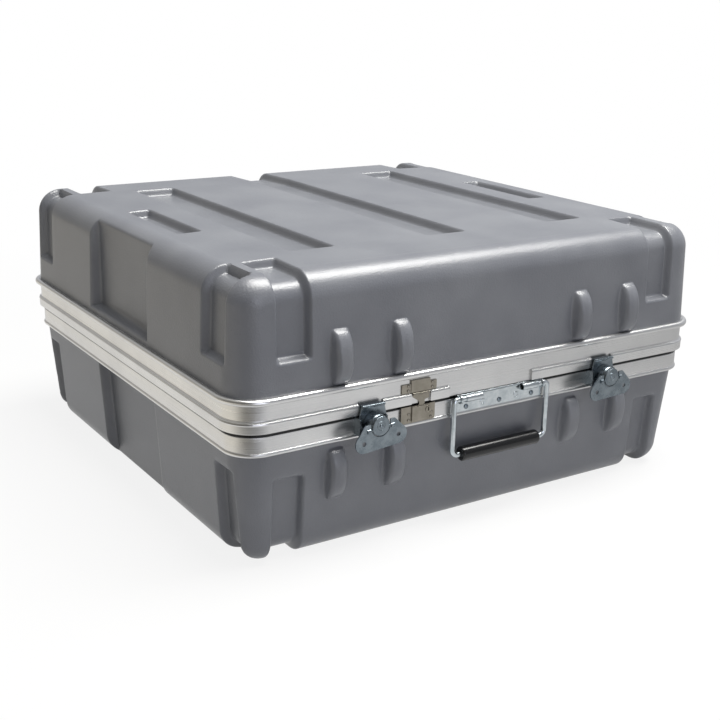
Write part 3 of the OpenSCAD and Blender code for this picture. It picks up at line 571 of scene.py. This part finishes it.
# %% Lid shell
LID_RECESS_FOOT, LID_TOP = 40, 149.5
BUMP_LINES = np.concatenate([np.arange(-31, -24, 0.9), np.arange(-23, 23, 3.2),
                             np.arange(24, 31.5, 0.9)])


def lid_recess(y, h):
    """Place of the lid's recess floor, an upright plane."""
    return HALF_W - RECESS_DEPTH + recess_back(y, h - LID_RECESS_FOOT) * 1.4


lid_lines = np.concatenate([LID_BUMPER_H + BUMP_LINES, LID_FOOT + SPREAD, LID_SIDE_FOOT + SPREAD,
                            LID_RECESS_FOOT + SPREAD, [36.5, 38.0]])
LID_WALL = (28.0, LID_TOP, 31.72, 34.7)    # edge radius, plate, distance out above and at foot
lid_profile = wall_profile(*LID_WALL, 36.0, lid_lines)
outer_foot = np.array([(34.7, 35.2, 1, 0, 0), (34.2, 34.6, 0.7, 0, 0), (32.6, 34.4, 1, 0, 0),
                       (32.5, 30, 1, 0, 0), (32.5, 9.2, 1, 0, 0), (28.5, 9.2, 1, 0, 0),
                       (28.5, 36.0, 1, 0, 0)])
coarse = wall_profile(*LID_WALL, 36.6, np.concatenate([65 + SPREAD[::2], [40, 42, 44]]))
lid_shell = moulding("lid_moulding", lid_x, lid_y, np.concatenate([lid_profile, outer_foot]),
                     coarse, lid_sink, LID_BUMPER_H, lid_recess, "lid")
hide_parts("lid_shell")

# %% Base shell
BASE_RECESS_FOOT = -26


def base_recess(y, h):
    """The base's recess floor leans in with the wall and is open through the bottom edge."""
    return HALF_W - 18.0 + 0.065 * (h + 30) + recess_back(y, BASE_RECESS_FOOT - h) * 1.6


base_x = thinned(np.concatenate([
    both_sides(*BASE_GROOVE, CORE[0] - 6),
    lines_at(BUMPER_X, [1] * 4, BUMP_SPREAD, CORE[0]), [-CORE[0] + 9, 0, CORE[0] - 9]]))
base_y = thinned(np.concatenate([
    lines_at([GROOVE_IN, BASE_GROOVE[0], -GROOVE_IN, -BASE_GROOVE[0]], [1, 1, -1, -1], SPREAD,
             CORE[1] - 8),
    lines_at([RECESS_HALF, -RECESS_HALF], [-1, 1], RECESS_SPREAD, CORE[1]),
    [-CORE[1] + 9, 0, CORE[1] - 9]]))
base_lines = np.concatenate([BASE_BUMPER_H + BUMP_LINES, BASE_FOOT - SPREAD,
                             BASE_SIDE_FOOT - SPREAD, BASE_RECESS_FOOT - SPREAD])
BASE_WALL = (26.0, -SEAM, 29.87, 29.8, -3.2)    # the same, and the height of the foot
CORE_IN = 8.0                                   # the plate's core is this much narrower
base_profile = wall_profile(*BASE_WALL, base_lines, CORE_IN)
base_lip = np.array([(25.8, -3.2, 1, 0, 0)])
coarse = wall_profile(*BASE_WALL, np.concatenate([-50 - SPREAD[::2], [-26, -28, -30]]), CORE_IN)
base_shell = moulding("base_moulding", base_x, base_y, np.concatenate([base_profile, base_lip]),
                      coarse, base_sink, BASE_BUMPER_H, base_recess, "base")
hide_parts("base_shell")

# %% [markdown]
# ## The rims
#
# Both rims are single extrusions bent round the case, so one profile is carried round the same
# outline. The profile could come from the CAD faces, but those have knife edges, and a real die
# leaves every corner with a small radius that catches the light. So the corners get fillets first.
# Where hardware crosses the seam, the lid rim's lower ridge is milled away: there the stations are
# doubled and the profile is clipped to the band's face.

# %% Profiles with fillets
def filleted(corners, steps=4):
    """Rounds each corner (o, h, radius) of a closed polygon with an arc tangent to both sides."""
    c = np.array(corners, float)
    out = []
    for k in range(len(c)):
        here, radius = c[k, :2], c[k, 2]
        back, on = c[k - 1, :2] - here, c[(k + 1) % len(c), :2] - here
        back, on = back / np.linalg.norm(back), on / np.linalg.norm(on)
        half = 0.5 * math.acos(np.clip(back @ on, -1, 1))
        if radius < 0.02 or half > 1.5:
            out.append(here)
            continue
        reach = radius / math.tan(half)
        mid = (back + on) / np.linalg.norm(back + on)
        centre = here + mid * radius / math.sin(half)
        a, b = here + back * reach - centre, here + on * reach - centre
        for t in np.linspace(0, 1, steps + 1):
            v = a * (1 - t) + b * t
            out.append(centre + v / np.linalg.norm(v) * radius)
    return np.array(out)


def arc(o, h, radius, start, end, steps=18):
    """Points of an arc round (o, h), from one angle in degrees to another, as (o, h, 0)."""
    a = np.radians(np.linspace(start, end, steps))
    return [(o + radius * math.cos(t), h + radius * math.sin(t), 0) for t in a]


def rim_stations(cuts, turns=20):
    """Stations round the outline with doubled ones at both ends of each cut (side, low, high)."""
    base, away, cut = [], [], []
    for quarter in range(4):
        a = math.radians(90 * quarter - 90)
        out = np.array([math.cos(a), math.sin(a)])
        along = np.array([-out[1], out[0]])
        reach, side = (CORE[1], CORE[0]) if quarter % 2 == 0 else (CORE[0], CORE[1])
        places = []
        for where, low, high in cuts:
            if where == quarter:
                places += [(low, False), (low + 0.01, True), (high - 0.01, True), (high, False)]
        for v, clipped in sorted(places):
            base.append(out * reach + along * v)
            away.append(out)
            cut.append(clipped)
        for k in range(turns + 1):
            b = a + math.radians(90) * k / turns
            base.append(out * reach + along * side)
            away.append(np.array([math.cos(b), math.sin(b)]))
            cut.append(False)
    return np.array(base), np.array(away), np.array(cut)


def carried(profile, cuts=(), cut_top=13.4):
    """Carries a closed profile (o, h) round the outline, clipped to o = 0 below the cut's top."""
    base, away, cut = rim_stations(cuts)
    o = np.broadcast_to(profile[None, :, 0], (len(base), len(profile))).copy()
    h = np.broadcast_to(profile[None, :, 1], o.shape)
    o = np.where(cut[:, None] & (h < cut_top) & (o > 0), 0.0, o)
    xy = base[:, None, :] + away[:, None, :] * (CORNER + o)[..., None]
    points = np.concatenate([xy, (h + SEAM)[..., None]], -1)
    return points.reshape(-1, 3), grid_quads(*h.shape, wrap_rows=True, wrap_cols=True)

# %% [markdown]
# The lid's rim has a groove for the gasket, a ridge that guards the seam, a flat band and a round
# bead. The base's rim has the tongue that closes into the groove, a rebate just under the seam, a
# band and a smaller bead. Each cut is (side, from, to), and the sides count from the front round
# by the right.

# %% Lid rim and base rim
lid_section = filleted([(-9.8, 0.2, 0.2), (-8.4, 0.2, 0.2), (-8.4, 6.4, 0.2), (-3.6, 6.4, 0.2),
                        (-3.6, 0.2, 0.2), (2.5, 0.2, 0.5), (2.5, 8.6, 0.4), (3.0, 9.6, 0.5),
                        (2.4, 11.0, 0.6), (0.0, 12.6, 0.8), (0.0, 30.3, 0.0)]
                       + arc(3.0, 32.2, 3.5, 211, 496)
                       + [(-2.4, 34.6, 0.3), (-2.4, 8.8, 0.3), (-9.8, 8.8, 0.3)])
milled = [(0, -170.8, -141.2), (0, 141.2, 170.8), (0, -106.5, -82.5), (0, -58.5, 53.5),
          (2, -183, -129), (2, 129, 183)]
lid_rim = piece("lid_rim", *carried(lid_section, milled), "lid", aluminium, "valance_aluminium", 30)
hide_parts("lid_valance")
base_section = filleted([(-4.4, -0.2, 0.2), (-4.4, -4.7, 0.2), (-2.7, -4.7, 0.5)]
                        + arc(-3.9, -23.0, 2.6, 62.5, -117.5)
                        + [(-5.1, -3.0, 0.2), (-9.8, -3.0, 0.3), (-9.8, -0.2, 0.3),
                           (-7.0, -0.2, 0.1), (-7.0, 4.0, 0.5), (-5.0, 4.0, 0.5),
                           (-5.0, -0.2, 0.1)])
points, quads = carried(base_section)
base_rim_obj = piece("base_rim", points, quads[:, ::-1], "base", aluminium_with_seam_shade,
                     "valance_aluminium", 30)
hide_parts("base_valance")
print("rims", len(lid_section), "and", len(base_section), "profile points")

# %% [markdown]
# ## Pressed and turned hardware
#
# The latches, the lock, the handle plate and the hinges have the right shapes in CAD. Only their
# edges are too sharp: a pressing has a rounded edge on one side, and that thin bright line is what
# makes small hardware look real. So a copy of each CAD node has its doubles merged and its flat
# facets joined, and a Bevel modifier rounds every edge over 30 degrees.

# %% Softened copies
def softened(names, width, material, segments=2):
    """Bevelled copies of CAD nodes, each standing for its own node."""
    bodies = {n: b for b, ns in frame["record"]["behaviour"]["bodies"].items() for n in ns}
    for name in names:
        mesh = frame["nodes"][name].data.copy()
        bm = bmesh.new()
        bm.from_mesh(mesh)
        bmesh.ops.remove_doubles(bm, verts=bm.verts, dist=2e-6)
        bmesh.ops.dissolve_limit(bm, angle_limit=math.radians(0.6), verts=bm.verts, edges=bm.edges)
        bm.to_mesh(mesh)
        bm.free()
        mesh.materials.clear()
        mesh.materials.append(material)
        mesh.polygons.foreach_set("use_smooth", np.ones(len(mesh.polygons), bool))
        mesh.set_sharp_from_angle(angle=math.radians(30))
        obj = bpy.data.objects.new(name + "_soft", mesh)
        bpy.context.scene.collection.objects.link(obj)
        bevel = obj.modifiers.new("edge", "BEVEL")
        bevel.width, bevel.segments, bevel.limit_method = width * MM, segments, "ANGLE"
        bevel.angle_limit = math.radians(30)
        bevel.harden_normals = True
        bevel.use_clamp_overlap = True
        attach(obj, bodies[name])
        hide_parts(name)


softened(["latch_body_left", "latch_body_right", "hook_left", "hook_right", "keeper_left",
          "keeper_right", "hinge_base_left", "hinge_base_right", "hinge_lid_left",
          "hinge_lid_right"], 0.3, zinc)
softened(["handle_plate"], 0.3, bright_zinc)
softened(["wing_left", "wing_right", "drum_left", "drum_right"], 0.45, zinc, 3)
softened(["lock_body", "lock_strike", "lock_cylinder"], 0.3, nickel)

# %% [markdown]
# ## Handle
#
# The bail is one length of 6 mm wire with four bends, so a circle is carried along its centre
# line. Its path lies in one plane, which makes the frame of the sweep simple: one axis of the
# circle is always the plane's normal. The grip is a soft sleeve pushed over the wire's bottom run,
# turned as a radius over its length.

# %% Bail and grip
BAIL = np.array([12.0, -292.4, SEAM - 5.0])
BAIL_DROP = -62.0


def bend(centre, radius, start, end, steps=12):
    """Points of a bend in the x-z plane."""
    a = np.radians(np.linspace(start, end, steps))
    return np.stack([centre[0] + radius * np.cos(a), centre[1] + radius * np.sin(a)], -1)


def wire(path, radius, sides=20):
    """A tube round an x-z path: circle axes are the y axis and the path's own normal."""
    path = np.asarray(path, float)
    t = np.gradient(path, axis=0)
    t /= np.linalg.norm(t, axis=1)[:, None]
    a = np.linspace(0, 2 * math.pi, sides, endpoint=False)
    x = path[:, None, 0] - t[:, None, 1] * radius * np.cos(a)[None]
    z = path[:, None, 1] + t[:, None, 0] * radius * np.cos(a)[None]
    y = np.broadcast_to(radius * np.sin(a)[None], x.shape)
    return np.stack([x, y, z], -1).reshape(-1, 3), grid_quads(len(path), sides, wrap_cols=True)


half_path = np.concatenate([[[28.5, 0.0], [40.0, 0.0]], bend((59.75, -4), 4, 90, 0),
                            [[63.75, -20.0], [63.75, -40.0]], bend((56.75, -55), 7, 0, -90),
                            [[40.0, BAIL_DROP], [20.0, BAIL_DROP]]])
bail_path = np.concatenate([half_path, half_path[::-1] * [-1, 1]])
points, quads = wire(bail_path, 3.1)
bail = piece("bail_wire", points + BAIL, quads, "handle", bright_zinc, "zinc_hardware")
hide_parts("bail")


def turned(profile, sides=48):
    """A shape turned about the x axis from rows of (x, radius)."""
    x, r = np.asarray(profile, float).T
    a = np.linspace(0, 2 * math.pi, sides, endpoint=False)
    y, z = r[:, None] * np.cos(a)[None], r[:, None] * np.sin(a)[None]
    points = np.stack([np.broadcast_to(x[:, None], y.shape), y, z], -1)
    return points.reshape(-1, 3), grid_quads(len(x), sides, wrap_cols=True)[:, ::-1]


end = [(-53 + 2.2 * (1 - math.cos(t)), 5.8 + 2.2 * math.sin(t)) for t in np.linspace(0, 1.57, 9)]
grip_profile = [(-52.2, 3.16), (-53, 3.8), (-53, 5.0)] + end + [(-48, 8.0), (-20, 8.0), (0, 8.0)]
grip_profile += [(-x, r) for x, r in grip_profile[-2::-1]]
points, quads = turned(grip_profile)
grip = piece("grip_sleeve", points + BAIL + [0, 0, BAIL_DROP], quads, "handle", grip_pvc,
             "grip_rubber", 50)
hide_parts("grip")
print("bail and grip made")

# %% [markdown]
# ## Foam insert
#
# The base is filled with charcoal foam, water-jet cut with square wells for microphones standing
# on their ends and two bays for cables. Cutting leaves walls straight and lips a little rounded,
# so the insert is a height over a grid whose lines crowd at the cuts. The height is the top less
# a deep eased step for each well. The lid's pad is convoluted foam, a product of two cosines.

# %% Base insert
FOAM_X, FOAM_Y, LINER, WELL, STRIP = 272.0, 257.0, 28.0, 62.0, 23.0
FOAM_TOP, WELL_DEPTH = 144.0, 114.3 - 0.4
bay_x, bay_y = FOAM_X - LINER, FOAM_Y - LINER
bay_front = -bay_y + 255
well_x = [-bay_x + k * (2 * bay_x - WELL) / 5 for k in range(6)]
well_y = [-bay_y + k * (WELL + STRIP) for k in range(3)]
holes = [(x, x + WELL, y, y + WELL) for x in well_x for y in well_y]
holes += [(-bay_x, -STRIP / 2, bay_front, bay_y), (STRIP / 2, bay_x, bay_front, bay_y)]
LIP = np.array([-1.6, -0.7, -0.1, 0.3, 0.9, 1.8])


def cut_lines(cuts, half):
    """Grid lines crowded at both ends of each cut (low, high) and at the block's own edges."""
    crowded = [np.concatenate([low + LIP, high - LIP]) for low, high in cuts]
    edges = [-half, half, -half + 1, half - 1, -half + 3, half - 3]
    return thinned(np.concatenate(crowded + [edges]), 0.35, 12)


def border(n, m):
    """Indices of the points round the edge of a grid of n by m points, in order."""
    return np.concatenate([np.arange(m)[::-1], np.arange(1, n) * m, (n - 1) * m + np.arange(1, m),
                           (np.arange(n - 2, 0, -1) + 1) * m - 1])


gx, gy = np.meshgrid(cut_lines([(a, b) for a, b, _, _ in holes], FOAM_X),
                     cut_lines([(c, d) for _, _, c, d in holes], FOAM_Y), indexing="ij")
sunk = np.zeros_like(gx)
for a, b, c, d in holes:
    inside = [eased(v, 0.6, 1.6) for v in (gx - a + 0.3, b - gx + 0.3, gy - c + 0.3, d - gy + 0.3)]
    sunk = np.maximum(sunk, np.minimum(np.minimum(inside[0], inside[1]),
                                       np.minimum(inside[2], inside[3])))
edge = np.minimum(FOAM_X - np.abs(gx), FOAM_Y - np.abs(gy))
top = FOAM_TOP - 1.2 * np.exp(-edge / 0.9) - 0.35 * (np.sin(gx / 37) * np.cos(gy / 29) + 1)
gz = top - WELL_DEPTH * sunk
grid_points = np.stack([gx, gy, gz], -1).reshape(-1, 3)
loop = border(*gx.shape)
# The block's sides as (x scale, y scale, height), stepping in to clear the shell's channels.
rings = [(1, 1, 29.6), (265 / 272, 250 / 257, 29.5), (265 / 272, 250 / 257, 13.6),
         (262 / 272, 209 / 257, 13.5), (262 / 272, 209 / 257, 4.6), (0.002, 0.002, 4.6)]
ring_points = [grid_points[loop]] + [np.stack([grid_points[loop, 0] * sx, grid_points[loop, 1] * sy,
                                               np.full(len(loop), z)], -1) for sx, sy, z in rings]
sides = (np.concatenate(ring_points), grid_quads(len(ring_points), len(loop), wrap_cols=True))
points, quads = merged(*joined((grid_points, grid_quads(*gx.shape)), sides))
insert = piece("foam_insert", points, quads, "base", foam, "foam", 50)
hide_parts("base_foam_floor", "base_foam_front", "base_foam_back", "base_foam_left",
            "base_foam_right", "mic_strip_1", "mic_strip_2", "mic_strip_3", "mic_cells_1",
            "mic_cells_2", "mic_cells_3", "bay_divider")
print("foam insert", len(quads), "faces")

# %% Convoluted pad in the lid
def egg_crate(x, y, pitch=38.0, high=24.0):
    """Height of the pad's face: a product of cosines, with rounded peaks pointing down."""
    wave = np.cos(2 * math.pi * x / pitch) * np.cos(2 * math.pi * y / pitch)
    return high * (0.5 - 0.5 * wave)


px, py = np.meshgrid(np.linspace(-FOAM_X, FOAM_X, 145), np.linspace(-FOAM_Y, FOAM_Y, 137),
                     indexing="ij")
face = np.stack([px, py, 198.6 + egg_crate(px, py)], -1).reshape(-1, 3)
loop = border(*px.shape)
# The pad's back: straight sides, a small chamfer and a flat face, as (scale, height).
pad_rings = [face[loop]] + [face[loop] * [s, s, 0] + [0, 0, z] for s, z in
                            ((1, 240.0), (1, 283.0), (0.99, 283.4), (0.002, 283.4))]
sides = (np.concatenate(pad_rings), grid_quads(len(pad_rings), len(loop), wrap_cols=True)[:, ::-1])
points, quads = merged(*joined((face, grid_quads(*px.shape)[:, ::-1]), sides))
pad = piece("lid_pad", points, quads, "lid", foam, "foam", 60)
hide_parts("lid_foam")

# %% [markdown]
# ## Finishes of the remaining CAD pieces
#
# Rivets, pins and the gasket are right as they are and only take their materials.

# %% Materials on the frame's own nodes
slot_of = {s["node"]: s["material_slot"] for s in frame["record"]["subparts"]}
finishes = {"valance_aluminium": aluminium, "zinc_hardware": zinc, "nickel_lock": nickel,
            "gasket_rubber": gasket_rubber, "grip_rubber": grip_pvc, "foam": foam,
            "shell_plastic": abs_plastic}
for name, obj in frame["nodes"].items():
    for s in obj.material_slots:
        s.material = finishes[slot_of[name]]

# %% [markdown]
# ## Stage and light
#
# The case stands in a white studio. One long lamp hangs above and to the right: it makes the top
# bright and draws the white line along the front edge, where the surface's normal lies halfway
# between the lamp and the camera. The front is filled by a weak lamp and by light that the floor
# throws back. The room is bright behind the case and dim behind the camera, as a studio is, and
# that difference gives metal its dark and bright lines.

# %% Floor
def white_stage(name, plain, near, shade_spot_at):
    """A floor that is plain to light and part white to the camera, more so with distance.

    In gloss and through glass it glows too, a painted reflection, and that glow holds a painted
    round
    shade where the photographer stands: the distance from shade_spot_at, run through a Map Range,
    is its brightness there. That glow is weaker to the right and a little warmer to the left.
    """
    mat, tree, shader, where = new_material(name)
    shader.inputs["Base Color"].default_value = srgb(plain)
    shader.inputs["Roughness"].default_value = 0.9
    shader.inputs["Specular IOR Level"].default_value = 0.0
    ray = tree.nodes.new("ShaderNodeLightPath")
    reach = node(tree, "ShaderNodeVectorMath", {0: where}, operation="LENGTH")
    direct = node(tree, "ShaderNodeMapRange", {"Value": reach.outputs["Value"], "From Min": 0.45,
                                               "From Max": 1.3, "To Min": near, "To Max": 1.0})
    # painted shade: the glow seen in gloss is dimmed in a round spot where the photographer stands
    off = node(tree, "ShaderNodeVectorMath", {0: where, 1: shade_spot_at}, operation="DISTANCE")
    mirrored = node(tree, "ShaderNodeMapRange", {"Value": off.outputs["Value"], "From Min": 0.30,
                                                 "From Max": 0.62, "To Min": 0.12, "To Max": 0.85})
    side = node(tree, "ShaderNodeSeparateXYZ", {"Vector": where}).outputs["X"]
    falling = node(tree, "ShaderNodeMapRange", {"Value": side, "From Min": -0.1, "From Max": 0.8,
                                                "To Min": 1.0, "To Max": 0.62})
    level = node(tree, "ShaderNodeMath", {0: mirrored.outputs["Result"],
                                          1: falling.outputs["Result"]}, operation="MULTIPLY")
    strength = node(tree, "ShaderNodeMath", {0: level.outputs[0],
                                             1: ray.outputs["Is Camera Ray"]}, operation="MAXIMUM")
    warm = node(tree, "ShaderNodeMapRange", {"Value": side, "From Min": -0.7, "From Max": -0.35})
    cool = node(tree, "ShaderNodeMath", {0: warm.outputs["Result"],
                                         1: ray.outputs["Is Camera Ray"]}, operation="MAXIMUM")
    tint = ramp(tree, cool.outputs[0], [(0, srgb("#fff9ec")), (1, srgb("#ffffff"))])
    glow = node(tree, "ShaderNodeEmission", {"Color": tint, "Strength": strength.outputs[0]})
    gloss = node(tree, "ShaderNodeMath", {0: ray.outputs["Is Glossy Ray"],
                                          1: ray.outputs["Is Transmission Ray"]},
                 operation="MAXIMUM")
    seen = node(tree, "ShaderNodeMath", {0: direct.outputs["Result"],
                                         1: ray.outputs["Is Camera Ray"], 2: gloss.outputs[0]},
                operation="MULTIPLY_ADD")
    both = node(tree, "ShaderNodeMixShader", {0: seen.outputs[0], 1: shader.outputs["BSDF"],
                                              2: glow.outputs[0]})
    tree.links.new(both.outputs[0], tree.nodes["Material Output"].inputs["Surface"])
    return mat


bpy.ops.mesh.primitive_plane_add(size=14, location=(0, 0, -0.0005))
floor = bpy.context.object
floor.name = "floor"
floor.data.materials.append(white_stage("pale_floor", "#c2c2c2", 0.86, (-0.62, -0.85, 0)))
print("floor", floor.dimensions[0], "m wide")

# %% Room
def room(dim, bright):
    """A world that is white to the camera, bright behind the case and dim in front of it.

    The brightness follows the dot product of the ray's direction with one that points behind
    the case, and a second dot product takes out the side where the photographer stands. The
    light is warmer from the left, where the studio's wall is.
    """
    world = bpy.data.worlds.new("studio")
    bpy.context.scene.world = world
    world.use_nodes = True
    tree = world.node_tree
    tree.nodes.clear()
    where = tree.nodes.new("ShaderNodeTexCoord").outputs["Generated"]

    def along(direction, low, high, start, end):
        """From start to end as the ray's dot product with the direction goes from low to high."""
        dot = node(tree, "ShaderNodeVectorMath", {0: where, 1: direction},
                   operation="DOT_PRODUCT")
        return node(tree, "ShaderNodeMapRange", {"Value": dot.outputs["Value"], "From Min": low,
                                                 "From Max": high, "To Min": start,
                                                 "To Max": end}).outputs["Result"]

    tint = ramp(tree, along((1, 0, 0), -0.8, 0.3, 0, 1),
                [(0, srgb("#fbf5e9")), (1, srgb("#f3f5fb"))])
    level = node(tree, "ShaderNodeMath", {0: along((0.72, 0.62, 0.3), -0.6, 0.8, dim, bright),
                                          1: along((-0.5, -0.86, -0.1), 0.72, 0.92, 1.0, 0.25)},
                 operation="MULTIPLY")
    light = node(tree, "ShaderNodeBackground", {"Color": tint, "Strength": level.outputs[0]})
    white = node(tree, "ShaderNodeBackground", {"Color": srgb("#ffffff"), "Strength": 1.0})
    ray = tree.nodes.new("ShaderNodeLightPath")
    mix = node(tree, "ShaderNodeMixShader", {0: ray.outputs["Is Camera Ray"], 1: light.outputs[0],
                                             2: white.outputs[0]})
    out = tree.nodes.new("ShaderNodeOutputWorld")
    tree.links.new(mix.outputs[0], out.inputs["Surface"])


room(0.16, 0.6)

# %% Lamps
def lamp(name, place, target, wide, deep, power, colour):
    """A rectangular area lamp at a place, turned to look at its target."""
    data = bpy.data.lights.new(name, "AREA")
    data.shape, data.size, data.size_y, data.energy = "RECTANGLE", wide, deep, power
    data.color = srgb(colour)[:3]
    obj = bpy.data.objects.new(name, data)
    obj.location = place
    obj.rotation_mode = "QUATERNION"
    obj.rotation_quaternion = (Vector(target) - Vector(place)).to_track_quat("-Z", "Y")
    bpy.context.scene.collection.objects.link(obj)
    print(name, round((Vector(target) - Vector(place)).length, 2), "m away")


lamp("overhead", (0.65, -0.38, 2.4), (0.65, -0.38, 0), 2.2, 1.15, 138, "#fffefa")
lamp("front_fill", (-0.5, -2.6, 0.7), (-0.1, 0, 0.15), 1.4, 1.4, 12, "#eef1ff")

bpy.context.scene.view_settings.view_transform = "Standard"
